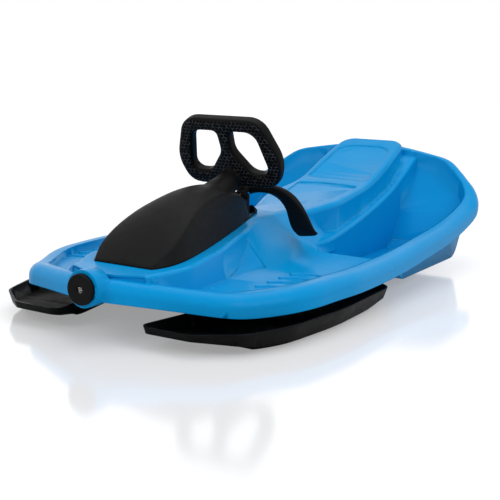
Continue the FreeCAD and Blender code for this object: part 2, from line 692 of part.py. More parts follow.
def steering_crank():
    """Sleeve on the column's lower end with a downward arm and a ball."""
    sleeve = cylinder(dim.sleeve_r, dim.sleeve_length, on_column(column_length), COLUMN)
    arm = cylinder(dim.crank_r, dim.crank_throw - 2, on_column(crank_at) - WHEEL_UP * 2, WHEEL_UP * -1)
    body = union(sleeve, arm, Part.makeSphere(dim.ball_r, BALL))
    body = body.cut(cylinder(dim.column_r, 2 * dim.sleeve_length, on_column(column_length + 5), COLUMN))
    return solid_of(body.cut(cylinder(dim.link_pin_r / 2, 2 * dim.sleeve_r - 2, pin_base, X)))


piece("steering_crank", steering_crank())
keep("crank_pin", rod("crank_pin", "link_pin_r / 2", "2 * sleeve_r - 2", pin_base, X))


# Flat linkage plates, drawn as outlines and padded
def plate(node, z_low, thickness, outline, holes):
    """Body padded upwards from a closed outline; holes are (x, y, radius formula) or ready wires."""
    body = doc.addObject("PartDesign::Body", node)
    sketch = body.newObject("Sketcher::SketchObject", node + "_outline")
    plane = [f for f in body.Origin.OriginFeatures if f.Role == "XY_Plane"][0]
    sketch.AttachmentSupport = [(plane, "")]
    sketch.MapMode = "FlatFace"
    wires = [outline] + [hole for hole in holes if isinstance(hole, Part.Wire)]
    for wire in wires:
        for edge in wire.Edges:
            ends = edge.valueAt(edge.FirstParameter), edge.valueAt(edge.LastParameter)
            if isinstance(edge.Curve, Part.Circle):
                middle = edge.valueAt((edge.FirstParameter + edge.LastParameter) / 2)
                sketch.addGeometry(Part.Arc(ends[0], middle, ends[1]), False)
            else:
                sketch.addGeometry(Part.LineSegment(*ends), False)
    for i, hole in enumerate(h for h in holes if not isinstance(h, Part.Wire)):
        x, y, formula = hole
        index = sketch.addGeometry(Part.Circle(Vector(x, y, 0), Z, 1), False)
        constraint = sketch.addConstraint(Sketcher.Constraint("Radius", index, 1))
        sketch.renameConstraint(constraint, f"hole{i}")
        bind(sketch, **{f"Constraints.hole{i}": formula})
    pad = body.newObject("PartDesign::Pad", node + "_pad")
    pad.Profile = sketch
    bind(pad, Length=thickness)
    bind(body, **{"Placement.Base.z": z_low})
    return keep(node, body)


def slot_wire(x, y, half_x, half_y):
    """Rounded slot, longer along Y."""
    return rounded([(x - half_x, y - half_y, half_x * 0.98), (x + half_x, y - half_y, half_x * 0.98),
                    (x + half_x, y + half_y, half_x * 0.98), (x - half_x, y + half_y, half_x * 0.98)], flat)


pin_play = dim.link_pin_r + dim.link_gap
arm_end = dim.king_x + 18
tie_half = dim.tie_width / 2
tie_outline = rounded([(-arm_end, link_y - tie_half, 12), (arm_end, link_y - tie_half, 12),
                       (arm_end, link_y + tie_half, 12), (-arm_end, link_y + tie_half, 12)], flat)
tie_slots = [slot_wire(side * dim.king_x, link_y + 1.5, pin_play, pin_play + 3) for name, side in SIDES]
tie_slots.append(slot_wire(0, link_y - 3.5, pin_play, pin_play + 5))
plate("tie_bar", "tie_z", "tie_thick", tie_outline, tie_slots)


def rocker():
    """Lever that turns the crank's swing round: a fork for the ball in front, a pin for the tie bar behind."""
    low = hull_under + 0.4
    mouth = dim.ball_r + dim.link_gap / 2
    outline = [(mouth + 7, rocker_y - dim.rocker_arm - 16, 3), (16, rocker_y + 4, 14), (11, link_y + 11, 10),
               (-11, link_y + 11, 10), (-16, rocker_y + 4, 14),
               (-mouth - 7, rocker_y - dim.rocker_arm - 16, 3)]
    face = Part.Face(rounded(outline, flat))
    face.translate(Vector(0, 0, low))
    body = face.extrude(Vector(0, 0, dim.rocker_thick))
    fork = Part.makeBox(2 * mouth, 40, 40, Vector(-mouth, rocker_y - 17 - 40, low - 5))
    fork = fork.fuse(cylinder(mouth, 40, Vector(0, rocker_y - 17, low - 5)))
    pin = cylinder(dim.link_pin_r, low - dim.tie_z + 1, Vector(0, link_y, dim.tie_z - 1))
    bore = cylinder(dim.rocker_pin_r + dim.run_gap, 40, Vector(0, rocker_y, low - 10))
    return solid_of(body.cut(fork).fuse(pin).cut(bore))


piece("steering_rocker", rocker())
cross_front = cross_y - dim.cross_width / 2
cross_outline = rounded([(-dim.cross_half, cross_front, 8), (dim.cross_half, cross_front, 8),
                         (dim.cross_half, rocker_y + 12, 8), (-dim.cross_half, rocker_y + 12, 8)], flat)
plate("steering_cross_member", "foot_floor - wall - cross_thick", "cross_thick", cross_outline,
      [(0, rocker_y, "rocker_pin_r")] + [(side * bolt_x, cross_y, "screw_r") for name, side in SIDES])
screws = []
for name, side in SIDES:
    foot = Vector(side * bolt_x, cross_y, cross_low)
    screws.append(rod(f"cross_screw_{name}", "screw_r", "cross_thick + 2", foot, Z))
    screws.append(rod(f"cross_screw_head_{name}", "screw_head_r", "screw_head", foot - Z * dim.screw_head, Z))
keep("cross_member_screws", fused("cross_member_screws", *screws))
rocker_top = hull_under + 0.4 + dim.rocker_thick
keep("rocker_pivot", fused("rocker_pivot",
                           rod("rocker_pivot_shank", "rocker_pin_r", str(rocker_top + 0.4 - cross_low),
                               Vector(0, rocker_y, cross_low), Z),
                           rod("rocker_pivot_head", "rocker_pin_r + 4", "screw_head",
                               Vector(0, rocker_y, rocker_top + 0.4), Z)))


# Skis
def ski_outline(side, distance=0.0):
    front, rear = dim.ski_front_y, dim.ski_rear_y
    half = [(82, front, 20), (180, front + 4, 24), (252, front + 60, 60), (285, front + 150, 200),
            (303, front + 300, 400), (300, rear, 44), (180, rear, 40),
            (150, front + 320, 300), (102, front + 120, 300)]
    points = [(side * x, y, r) for x, y, r in half]
    if side < 0:
        points.reverse()
    return inset(rounded(points, flat), distance)


def ski_bottom(lift):
    front, rear, rise = dim.ski_front_y, dim.ski_rear_y, dim.ski_tip_rise
    return [(front - 20, rise + 6 + lift, 0), (front + 95, lift + 2, 300), (front + 200, lift, 300),
            (rear - 110, lift, 300), (rear + 20, rise + lift, 0)]


def flared_ski(side, shrink):
    """Solid between a ski's sole line and its wider top line."""
    low, high = ski_outline(side, dim.ski_flare + shrink), ski_outline(side, shrink)
    high.translate(Vector(0, 0, dim.ski_top))
    return Part.makeLoft([low, high], True, True)


def ski(side):
    """Shallow moulded tray with upturned ends, a thick sole set in from its edge and a pivot post."""
    sole, wall = dim.ski_sole, dim.ski_wall
    tray = flared_ski(side, 0).cut(below_corners(ski_bottom(sole * 0.7)))
    hollow = flared_ski(side, wall).cut(below_corners(ski_bottom(sole + wall * 0.6)))
    runner = prism(ski_outline(side, dim.ski_flare + dim.sole_inset), DEEP, dim.ski_top)
    runner = runner.cut(below_corners(ski_bottom(0)))
    runner = runner.common(below_corners(ski_bottom(sole)))
    runner = runner.common(Part.makeBox(REACH * 2, dim.ski_rear_y - 60 - dim.ski_front_y - 92, 100,
                                        Vector(-REACH, dim.ski_front_y + 92, -20)))
    centre = Vector(side * dim.king_x, king_y, 0)
    post = cylinder(dim.post_r, dim.post_top - 3, centre + Z * 3)
    ribs = [Part.makeBox(6, 150, 22, centre + Vector(-3, -75, 4)),
            Part.makeBox(100, 6, 22, centre + Vector(-50, -3, 4))]
    ribs = [rib.common(prism(ski_outline(side, 1))) for rib in ribs]
    body = union(tray.cut(hollow), runner, post, *ribs)
    body = body.cut(cylinder(dim.king_r + dim.bush_wall, 80, centre - Z * 20))
    body = body.cut(cylinder(dim.king_head_r + 1, dim.king_head + 2 + 20, centre - Z * 20))
    return solid_of(body)


def ski_arm(node, side):
    """Steering arm on top of the ski's pivot post, with the pin for the tie bar."""
    x, half = side * dim.king_x, dim.arm_half
    outline = rounded([(x - half, king_y + 20, 12), (x - 10, link_y - 10, 8), (x + 10, link_y - 10, 8),
                       (x + half, king_y + 20, 12)], flat)
    face = Part.Face(outline)
    face.translate(Vector(0, 0, dim.post_top))
    body = face.extrude(Vector(0, 0, dim.arm_thick))
    body = body.cut(cylinder(dim.king_r + dim.run_gap, 40, Vector(x, king_y, 20)))
    pin_top = dim.tie_z + dim.tie_thick + 1
    pin = cylinder(dim.link_pin_r, pin_top - dim.post_top, Vector(x, link_y, dim.post_top))
    return solid_of(body.fuse(pin))


for name, side in SIDES:
    king = Vector(side * dim.king_x, king_y, 0)
    piece(f"ski_{name}", ski(side))
    piece(f"ski_arm_{name}", ski_arm(name, side))
    head_top = dim.king_head + 2
    keep(f"ski_bush_{name}", tube(f"ski_bush_{name}", "king_r + bush_wall", "king_r + run_gap",
                                  "post_top - king_head - 2", king + Z * head_top, Z))
    keep(f"ski_pivot_bolt_{name}", fused(f"ski_pivot_bolt_{name}",
         rod(f"bolt_head_{name}", "king_head_r", "king_head", king + Z * (head_top - dim.king_head - 0.3), Z),
         rod(f"bolt_shoulder_{name}", "king_r", str(boss_low - head_top + 0.3), king + Z * (head_top - 0.3), Z),
         rod(f"bolt_thread_{name}", "king_thread_r", str(hull_under - boss_low - 3), king + Z * boss_low, Z)))
    keep(f"pivot_insert_{name}", tube(f"pivot_insert_{name}", "insert_r", "king_thread_r",
                                      str(hull_under - boss_low - 2), king + Z * boss_low, Z))
    keep(f"pivot_washer_{name}", tube(f"pivot_washer_{name}", "post_r", "king_r + run_gap", "washer_thick - 0.4",
                                      king + Z * (boss_low - dim.washer_thick + 0.3), Z))


# Brake: a yoke lever on a cross shaft, with a steel claw that swings down between the skis
BRAKE = Vector(0, dim.brake_y, dim.brake_z)


def lever_section(centre, along, width, thick):
    """Closed smooth section square to the lever's run: a rounded rectangle, wide across the sled."""
    along = along.normalize()
    across = (X - along * X.dot(along)).normalize()
    up = along.cross(across)
    points = []
    for k in range(LEVER_POINTS):
        turn = 2 * math.pi * (k + 0.5) / LEVER_POINTS
        u = math.copysign(abs(math.cos(turn)) ** LEVER_SQUARE, math.cos(turn)) * width / 2
        v = math.copysign(abs(math.sin(turn)) ** LEVER_SQUARE, math.sin(turn)) * thick / 2
        points.append(centre + across * u + up * v)
    curve = Part.BSplineCurve()
    curve.interpolate(points, PeriodicFlag=True)
    return Part.Wire(curve.toShape())


def lever_arm(side):
    route = [(Vector(7, 22, 15), 22, 18), (Vector(44, 26, 17), 24, 18), (Vector(84, 36, 0), 32, 17),
             (Vector(102, 52, -38), 44, 15), (Vector(112, 78, -74), 46, 12)]
    heads = [Vector(1, 0.1, 0.1), Vector(1, 0.25, -0.05), Vector(0.7, 0.45, -0.65),
             Vector(0.2, 0.5, -1), Vector(0.2, 0.65, -0.8)]
    wires = []
    for (at, width, thick), head in zip(route, heads):
        place = BRAKE + Vector(side * at.x, at.y, at.z)
        wires.append(lever_section(place, Vector(side * head.x, head.y, head.z), width, thick))
    return Part.makeLoft(wires, True, False)


def brake_lever():
    hub = cylinder(dim.brake_hub_r, 2 * dim.brake_hub_half, BRAKE - X * dim.brake_hub_half, X)
    gap, eye = dim.claw_thick / 2 + 0.2, dim.brake_hub_r - 2.5
    half = dim.brake_hub_half
    saddle = Part.makeBox(2 * half, 32, 16, BRAKE + Vector(-half, -2, eye - 1))
    body = union(hub, saddle, lever_arm(1), lever_arm(-1))
    body = body.cut(Part.makeBox(2 * gap, 60, 30 + eye, BRAKE + Vector(-gap, -30, -30)))
    return solid_of(body.cut(cylinder(dim.brake_r, 200, BRAKE - X * 100, X)))


piece("brake_lever", brake_lever())
ear_at = dim.brake_hub_half + 0.8
keep("brake_shaft", rod("brake_shaft", "brake_r", str(2 * (ear_at + dim.ear_thick + 3)),
                        BRAKE - X * (ear_at + dim.ear_thick + 3), X))


def brake_claw():
    """Steel arm keyed to the shaft, ending in a toothed plate."""
    lean = math.radians(dim.claw_lean)
    down = Vector(0, -math.sin(lean), -math.cos(lean))
    rear = Vector(0, math.cos(lean), -math.sin(lean))
    reach, thick = dim.claw_reach, dim.claw_thick
    arm_profile = [(-9, -9, 8.9), (-9, 9, 8.9), (reach - 24, 9, 0), (reach - 24, -9, 0)]
    wire = rounded(arm_profile, lambda p: BRAKE + down * p.x + rear * p.y - X * (thick / 2))
    arm = Part.Face(wire).extrude(X * thick)
    half, tooth = dim.claw_half, dim.claw_half / 2
    teeth = [(-half, reach - 34), (half, reach - 34)]
    for k in range(4):
        teeth += [(half - k * tooth, reach - 14), (half - (k + 0.5) * tooth, reach)]
    teeth.append((-half, reach - 14))
    base = BRAKE - rear * (thick / 2)
    points = [base + X * u + down * v for u, v in teeth]
    plate_wire = Part.makePolygon(points + points[:1])
    comb = Part.Face(plate_wire).extrude(rear * thick)
    return solid_of(arm.fuse(comb).cut(cylinder(dim.brake_r, 40, BRAKE - X * 20, X)))


piece("brake_claw", brake_claw())


def brake_bracket():
    """Clevis on the bridge that carries the shaft."""
    foot = plinth_height(dim.brake_y)
    ears = []
    for side in (1, -1):
        x = side * (ear_at + dim.ear_thick / 2) - dim.ear_thick / 2
        profile = [(dim.brake_y - 16, foot - 6, 0), (dim.brake_y + 11, foot - 6, 0),
                   (dim.brake_y + 9, dim.brake_z + 8.5, 8),
                   (dim.brake_y - 9, dim.brake_z + 8.5, 8)]
        ears.append(Part.Face(rounded(profile, lambda p: Vector(x, p.x, p.y))).extrude(X * dim.ear_thick))
    hollow = bridge_form(0)
    front, rear = dim.brake_y - 60, dim.brake_y + 2
    rise = dim.ear_thick
    line = [(front, plinth_height(front), 0), (rear, plinth_height(rear), 0),
            (rear, plinth_height(rear) + rise, 0),
            (front, plinth_height(front) + rise, 0)]
    half = ear_at + dim.ear_thick
    base = Part.Face(rounded(line, lambda p: Vector(-half, p.x, p.y))).extrude(X * 2 * half)
    slot = Part.makeBox(dim.claw_thick + 8, 70, 60, Vector(-dim.claw_thick / 2 - 4, dim.brake_y - 48, 100))
    body = union(*ears, base).cut(hollow).cut(plinth_form(0)).cut(slot)
    return solid_of(body.cut(cylinder(dim.brake_r + dim.run_gap, 200, BRAKE - X * 100, X)))


piece("brake_bracket", brake_bracket())


# Tow handle, rope and spring reel
TOW = Vector(0, dim.tow_front_y, dim.tow_z)


def tow_handle():
    disc = cylinder(dim.tow_r, dim.tow_disc - 0.4, TOW, Y)
    stem = cylinder(dim.tow_stem_r, dim.tow_stem, TOW + Y * (dim.tow_disc - 0.5), Y)
    knot_seat = cylinder(dim.knot_r + 0.4, dim.tow_disc - 2, TOW - Y, Y)
    rim = [e for e in disc.Edges
           if isinstance(e.Curve, Part.Circle) and abs(e.CenterOfMass.y - TOW.y) < 1e-3]
    body = disc.makeFillet(2, rim).fuse(stem).cut(knot_seat)
    return solid_of(body.cut(cylinder(dim.rope_r, 100, TOW - Y * 10, Y)))


piece("tow_handle", tow_handle())
knot_y = dim.tow_disc - 3
knot_foot = TOW + Y * (knot_y - dim.knot_r / 2)
keep("rope_knot", rod("rope_knot", "knot_r", "knot_r / 2", knot_foot, Y))
keep("tow_rope", rod("tow_rope", "rope_r", str(dim.reel_y - dim.tow_front_y - knot_y), TOW + Y * knot_y, Y))
REEL = Vector(reel_x, dim.reel_y, 0)
cup_r = dim.reel_r + 1 + dim.reel_wall
cover_low = dim.reel_top - dim.reel_wall


def reel_housing():
    cup = cylinder(cup_r, cover_low - dim.reel_bottom, REEL + Z * dim.reel_bottom)
    cup = cup.cut(cylinder(dim.reel_r + 1, 60, REEL + Z * (dim.reel_bottom + dim.reel_wall)))
    mouth = Part.makeBox(4 * dim.rope_r, 60, 4 * dim.rope_r,
                         Vector(-2 * dim.rope_r, dim.reel_y - 62, dim.tow_z - 2 * dim.rope_r))
    return solid_of(cup.cut(mouth).cut(cylinder(dim.axle_r, 20, REEL + Z * (dim.reel_bottom - 5))))


piece("reel_housing", reel_housing())
keep("reel_cover", tube("reel_cover", str(cup_r), "axle_r", "reel_wall", REEL + Z * cover_low, Z))
keep("reel_axle", rod("reel_axle", "axle_r", "reel_top - reel_bottom", REEL + Z * dim.reel_bottom, Z))


def reel_drum():
    low, high = dim.reel_bottom + dim.reel_wall + 0.4, cover_low - 0.4
    flange = 2
    core = dim.reel_pitch_r - 3 * dim.rope_r
    body = union(cylinder(dim.reel_r, flange, REEL + Z * low),
                 cylinder(dim.reel_r, flange, REEL + Z * (high - flange)),
                 cylinder(core, high - low, REEL + Z * low))
    return solid_of(body.cut(cylinder(dim.axle_r + dim.run_gap, 80, REEL + Z * (low - 20))))


piece("reel_drum", reel_drum())
wind_low = dim.reel_bottom + dim.reel_wall + 2.6
keep("rope_winding", tube("rope_winding", "reel_pitch_r - rope_r - 0.3", "reel_pitch_r - 3 * rope_r",
                          str(cover_low - 2.6 - wind_low), REEL + Z * wind_low, Z))

doc.recompute()
for obj in doc.Objects:
    if "Invalid" in obj.State or "Error" in obj.State:
        raise RuntimeError(f"{obj.Label} failed: {obj.State}")
for node, obj in nodes.items():
    if obj.Shape.isNull() or not obj.Shape.isValid():
        raise RuntimeError(f"{node} has no valid shape")
os.makedirs("parts", exist_ok=True)
for node, obj in nodes.items():
    obj.Shape.exportStep(f"parts/{node}.step")
    print(node, len(obj.Shape.Solids), round(obj.Shape.Volume))
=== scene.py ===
"""Looks of the steering sled: moulded blue hull, black cowl, wheel, brake and skis, on a pale floor."""
import json
import math
import bpy
from mathutils import Matrix, Vector


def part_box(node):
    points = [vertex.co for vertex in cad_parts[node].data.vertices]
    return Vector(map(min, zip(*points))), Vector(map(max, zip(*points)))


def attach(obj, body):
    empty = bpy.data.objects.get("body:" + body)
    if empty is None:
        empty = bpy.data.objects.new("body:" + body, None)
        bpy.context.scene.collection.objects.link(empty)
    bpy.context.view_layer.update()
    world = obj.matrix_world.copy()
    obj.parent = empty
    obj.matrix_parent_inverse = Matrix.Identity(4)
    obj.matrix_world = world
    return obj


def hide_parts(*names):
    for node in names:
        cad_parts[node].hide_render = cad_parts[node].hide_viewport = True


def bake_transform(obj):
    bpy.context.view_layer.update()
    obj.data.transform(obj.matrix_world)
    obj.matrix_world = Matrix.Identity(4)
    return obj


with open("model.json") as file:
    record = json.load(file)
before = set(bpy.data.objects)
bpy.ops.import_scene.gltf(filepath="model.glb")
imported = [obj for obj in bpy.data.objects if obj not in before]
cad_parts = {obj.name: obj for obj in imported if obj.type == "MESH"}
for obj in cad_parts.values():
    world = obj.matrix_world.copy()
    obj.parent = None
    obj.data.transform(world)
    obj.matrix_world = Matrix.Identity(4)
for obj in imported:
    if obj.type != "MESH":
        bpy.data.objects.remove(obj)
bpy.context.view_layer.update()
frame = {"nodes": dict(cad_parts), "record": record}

record = frame["record"]
BODY_OF = {node: body for body, members in record["behaviour"]["bodies"].items() for node in members}
SLOT_OF = {part["node"]: part["material_slot"] for part in record["subparts"]}

# Camera, from the photograph's viewing angle
CAMERA_AT = Vector((0.9461, -1.6862, 0.4280))
CAMERA_AZIMUTH = math.radians(30.20)
CAMERA_ELEVATION = math.radians(10.62)
CAMERA_ROLL = math.radians(1.70)
CAMERA_LENS = 67.02          # mm
CAMERA_SENSOR = 36           # mm
CAMERA_REACH = 60

# Colours, linear
AZURE = (0.001, 0.285, 0.640, 1)
SATIN_BLACK = (0.0075, 0.0075, 0.0076, 1)
GRIP_BLACK = (0.003, 0.003, 0.0031, 1)
# painted glint: the paler colour of the honeycomb lines stands in for light catching their edges
GRIP_LINE_GLINT = (0.070, 0.070, 0.073, 1)
SKI_BLACK = (0.005, 0.005, 0.0051, 1)
BEARING_BLACK = (0.012, 0.012, 0.012, 1)
ZINC = (0.55, 0.56, 0.58, 1)
BRASS = (0.62, 0.43, 0.16, 1)
ROPE_PALE = (0.60, 0.59, 0.55, 1)
FLOOR_WHITE = (0.62, 0.62, 0.63, 1)
FILL_WHITE = (0.95, 0.97, 1.0, 1)

# Moulded plastics
HULL_SHINE = 0.07            # specular level of the blue plastic
BLACK_SHINE = 0.055          # specular level of the black plastics
BEARING_SHINE = 0.2
GRAIN_DETAIL = 3.0
GRAIN_STRENGTH = 0.5
MOTTLE_SCALE, MOTTLE_DETAIL = 7.0, 4.0
MOTTLE_TONES = 0.93, 1.07    # darkest and brightest share of the colour
SCUFF_SCALE, SCUFF_DETAIL, SCUFF_ROUGHNESS = 60.0, 8.0, 0.7
SCUFF_SPREAD = 0.35, 0.75    # noise from which scuffs begin, and where they are full
EDGE_SAMPLES = 6

# Honeycomb on the wheel's faces, with a painted glint on its lines
COLUMN_TILT = math.radians(25)
COLUMN = Vector((0, math.cos(COLUMN_TILT), math.sin(COLUMN_TILT)))
WHEEL_UP = Vector((0, -math.sin(COLUMN_TILT), math.cos(COLUMN_TILT)))
COMB_CELL = 0.008            # width of a cell
COMB_EDGE = 0.40, 0.47       # share of a cell at which its line begins and is full
COMB_FACING = 0.80, 0.92     # cosine to the column at which the lines begin and are full
# painted glint on the honeycomb lines, broken up by noise of this scale
COMB_GLINT_BREAK_SCALE = 160.0
COMB_GLINT_BREAKS = 0.42, 0.60       # noise at which the painted glint on the lines breaks off, and where it is full
COMB_GLINT_LEAST = 0.15            # what is left of the painted glint where it breaks off
COMB_RIDGE = 0.0005

# Metal and rope
BRUSH_SCALE, BRUSH_DETAIL = 120.0, 5.0
BRUSH_SHADE = 0.8
WEAVE_SCALE, WEAVE_BEND = 260.0, 0.6
WEAVE_SHADE = 0.62
WEAVE_DEPTH = 0.0006
ROPE_ROUGHNESS = 0.85

# Copies of the solids
MERGE = 1e-5                 # merging distance of a copy's corners
SMOOTH_ANGLE = math.radians(32)
NORMAL_WEIGHT = 60
WHEEL_CELL = 0.0016          # mesh size of the rounded wheel
WHEEL_ROUNDS = 30            # passes that round its corners
ROUND_SHARE = 0.5            # strength of one pass

# Closings of the hull's hollow forms
CLOSING_WALL = 0.002
NOSE_LOW, NOSE_TOP = 0.078, 0.1065
NOSE_END = 0.094             # height of the wall's top at its two ends
NOSE_LINE = [(0.0, -0.5405, NOSE_TOP), (0.020, -0.5385, NOSE_TOP), (0.036, -0.5335, NOSE_TOP),
             (0.080, -0.5140, NOSE_TOP), (0.094, -0.5075, NOSE_END)]
BRIDGE_END = -0.1888
BRIDGE_FOOT = 0.1113         # half width of the bridge's end at the floor
PLINTH_SIDE = 0.0790         # half width of the plinth at the next place
PLINTH_Y, PLINTH_Z = -0.200, 0.085
PLINTH_TAPER, PLINTH_DRAFT = -0.200, -0.225
FLARE_LENGTH = 0.150         # reach of the flare in front of the bridge
FLARE_LOW, FLARE_TOP = 0.0725, 0.1215
FLARE_SAG = 0.006            # hollow of the flare
FLARE_STEPS, FLARE_ROWS = 16, 8
BACK_CORNER = Vector((0.046, 0.5285, 0.0394))    # middle of the backrest's corner; height where y is 0
BACK_TURN = 0.028            # turn of the backrest's edge round that corner
BACK_SWEEP = math.radians(85)
BACK_SLOPE = 0.4024          # rise of the backrest
BACK_EDGE = 0.0118           # rounding of the edge
BACK_STEPS = 12

# Rope
ROUND_STEPS = 12             # curve points in one turn
STRAND_FACES = 4             # bevel resolution of a strand
STRANDS = 3                  # in the tow rope
ROPE_LAY = 0.016             # length of one turn of a strand
STRAND_OFFSET, STRAND_RADIUS = 0.52, 0.46        # shares of the rope's radius
TURN_RADIUS = 0.96           # share of the rope's radius for a turn on the drum
KNOT_RADIUS = 0.55           # share of the knot's half depth

# Stage
FLOOR_SIZE = 30
FLOOR_DROP = -0.0005
FLOOR_ROUGHNESS = 0.12
FLOOR_IOR = 1.7
FLOOR_SPECULAR = 1.0
FLOOR_GLOW = 0.31
FILL_STRENGTH = 0.55
SOFTBOXES = {                # place, aim, size and watts
    "top_light": ((0.2, 0.3, 2.6), (0, 0, 0), (2.6, 2.2), 27),
    "side_light": ((2.4, -0.6, 1.5), (0, 0, 0.1), (1.4, 1.6), 18),
    "front_light": ((-0.8, -2.6, 1.7), (0, -0.2, 0.1), (1.6, 1.2), 18),
}


# Helpers for objects
def deselect():
    """Object mode with nothing selected."""
    if bpy.context.object and bpy.context.object.mode != "OBJECT":
        bpy.ops.object.mode_set(mode="OBJECT")
    bpy.ops.object.select_all(action="DESELECT")


def activate(obj):
    """Select one object alone and make it active."""
    deselect()
    obj.select_set(True)
    bpy.context.view_layer.objects.active = obj


def linked(name, data):
    """New object in the scene."""
    obj = bpy.data.objects.new(name, data)
    bpy.context.scene.collection.objects.link(obj)
    return obj


def finish_with(obj, name, kind, **values):
    """Add a modifier, set it and apply it."""
    modifier = obj.modifiers.new(name, kind)
    for key, value in values.items():
        setattr(modifier, key, value)
    activate(obj)
    bpy.ops.object.modifier_apply(modifier=modifier.name)
    return obj


def joined(objects, name):
    """Several meshes as one object."""
    deselect()
    for obj in objects:
        obj.select_set(True)
    bpy.context.view_layer.objects.active = objects[0]
    bpy.ops.object.join()
    objects[0].name = name
    return objects[0]


def coat(obj, material):
    """Give an object one material."""
    obj.data.materials.clear()
    obj.data.materials.append(material)


def stands_for(obj, node, material):
    """Finish a piece that takes the place of a CAD node."""
    coat(obj, material)
    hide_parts(node)
    return obj


def dressed(node, name, material, added=(), rounds=0):
    """Smooth copy of a CAD node, with its corners rounded or meshes added, that takes its place."""
    obj = linked(name, frame["nodes"][node].data.copy())
    activate(obj)
    bpy.ops.object.mode_set(mode="EDIT")
    bpy.ops.mesh.select_all(action="SELECT")
    bpy.ops.mesh.remove_doubles(threshold=MERGE)
    bpy.ops.object.mode_set(mode="OBJECT")
    if rounds:
        finish_with(obj, "even_cells", "REMESH", mode="VOXEL", voxel_size=WHEEL_CELL)
        finish_with(obj, "round_corners", "SMOOTH", factor=ROUND_SHARE, iterations=rounds)
    bpy.ops.object.shade_smooth_by_angle(angle=SMOOTH_ANGLE)
    finish_with(obj, "even_normals", "WEIGHTED_NORMAL", keep_sharp=True, weight=NORMAL_WEIGHT)
    if added:
        obj = joined([obj, *added], name)
    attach(stands_for(obj, node, material), BODY_OF[node])


# Helpers for nodes
def placed(tree, kind, inputs, **settings):
    """New node with its settings; each input is linked to an output or set to a plain value."""
    node = tree.nodes.new(kind)
    for key, value in settings.items():
        setattr(node, key, value)
    for key, value in inputs.items():
        if isinstance(value, bpy.types.NodeSocket):
            tree.links.new(value, node.inputs[key])
        else:
            node.inputs[key].default_value = value
    return node


def number(tree, operation, *values):
    """Number that a Math node gives."""
    node = placed(tree, "ShaderNodeMath", dict(enumerate(values)), operation=operation)
    return node.outputs["Value"]


def vector(tree, operation, *values):
    """Vector that a Vector Math node gives."""
    node = placed(tree, "ShaderNodeVectorMath", dict(enumerate(values)), operation=operation)
    return node.outputs["Vector"]


def measure(tree, operation, *values):
    """Number that a Vector Math node gives."""
    node = placed(tree, "ShaderNodeVectorMath", dict(enumerate(values)), operation=operation)
    return node.outputs["Value"]


def scaled(tree, arrow, share):
    """A vector or colour times a number."""
    node = placed(tree, "ShaderNodeVectorMath", {0: arrow, "Scale": share}, operation="SCALE")
    return node.outputs["Vector"]


def object_place(tree):
    """The object's own coordinates."""
    return tree.nodes.new("ShaderNodeTexCoord").outputs["Object"]


def noise(tree, place, **inputs):
    """Value of a Noise Texture at a place."""
    return placed(tree, "ShaderNodeTexNoise", {"Vector": place, **inputs}).outputs["Fac"]


def mixed(tree, share, first, second):
    """Blend of two colours."""
    values = {"Fac": share, "Color1": first, "Color2": second}
    return placed(tree, "ShaderNodeMixRGB", values).outputs["Color"]


def ramp(tree, value, begin, full, low=0.0, high=1.0, **settings):
    """Value that goes from low to high between begin and full."""
    values = {"Value": value, "From Min": begin, "From Max": full, "To Min": low, "To Max": high}
    return placed(tree, "ShaderNodeMapRange", values, **settings).outputs["Result"]


def node_group(name, inputs, outputs):
    """Empty node group with its sockets, its input node and its output node."""
    group = bpy.data.node_groups.new(name, "ShaderNodeTree")
    for label, (kind, value) in inputs.items():
        made = group.interface.new_socket(name=label, in_out="INPUT", socket_type=kind)
        made.default_value = value
    for label, kind in outputs.items():
        group.interface.new_socket(name=label, in_out="OUTPUT", socket_type=kind)
    return group, group.nodes.new("NodeGroupInput").outputs, group.nodes.new("NodeGroupOutput").inputs


def principled(name):
    """New material with its node tree and its shader."""
    material = bpy.data.materials.new(name)
    material.use_nodes = True
    return material, material.node_tree, material.node_tree.nodes["Principled BSDF"]


def darker(colour, share):
    """A colour times a share."""
    return [part * share for part in colour[:3]] + [1]


# Node groups
def moulded_skin():
    """Mould grain, slow mottling and a dusting of fine scuffs, in the object's own coordinates."""
    group, given, result = node_group(
        "moulded_skin",
        {"Colour": ("NodeSocketColor", (0.5, 0.5, 0.5, 1)), "Grain Scale": ("NodeSocketFloat", 900.0),
         "Smooth": ("NodeSocketFloat", 0.25), "Rough": ("NodeSocketFloat", 0.4)},
        {"Colour": "NodeSocketColor", "Roughness": "NodeSocketFloat", "Height": "NodeSocketFloat"})
    link = group.links.new
    place = object_place(group)
    grain = noise(group, place, Scale=given["Grain Scale"], Detail=GRAIN_DETAIL)
    mottle = noise(group, place, Scale=MOTTLE_SCALE, Detail=MOTTLE_DETAIL)
    scuff = noise(group, place, Scale=SCUFF_SCALE, Detail=SCUFF_DETAIL, Roughness=SCUFF_ROUGHNESS)
    tone = ramp(group, mottle, 0.0, 1.0, *MOTTLE_TONES)
    link(scaled(group, given["Colour"], tone), result["Colour"])
    link(ramp(group, scuff, *SCUFF_SPREAD, given["Smooth"], given["Rough"]), result["Roughness"])
    link(grain, result["Height"])
    return group


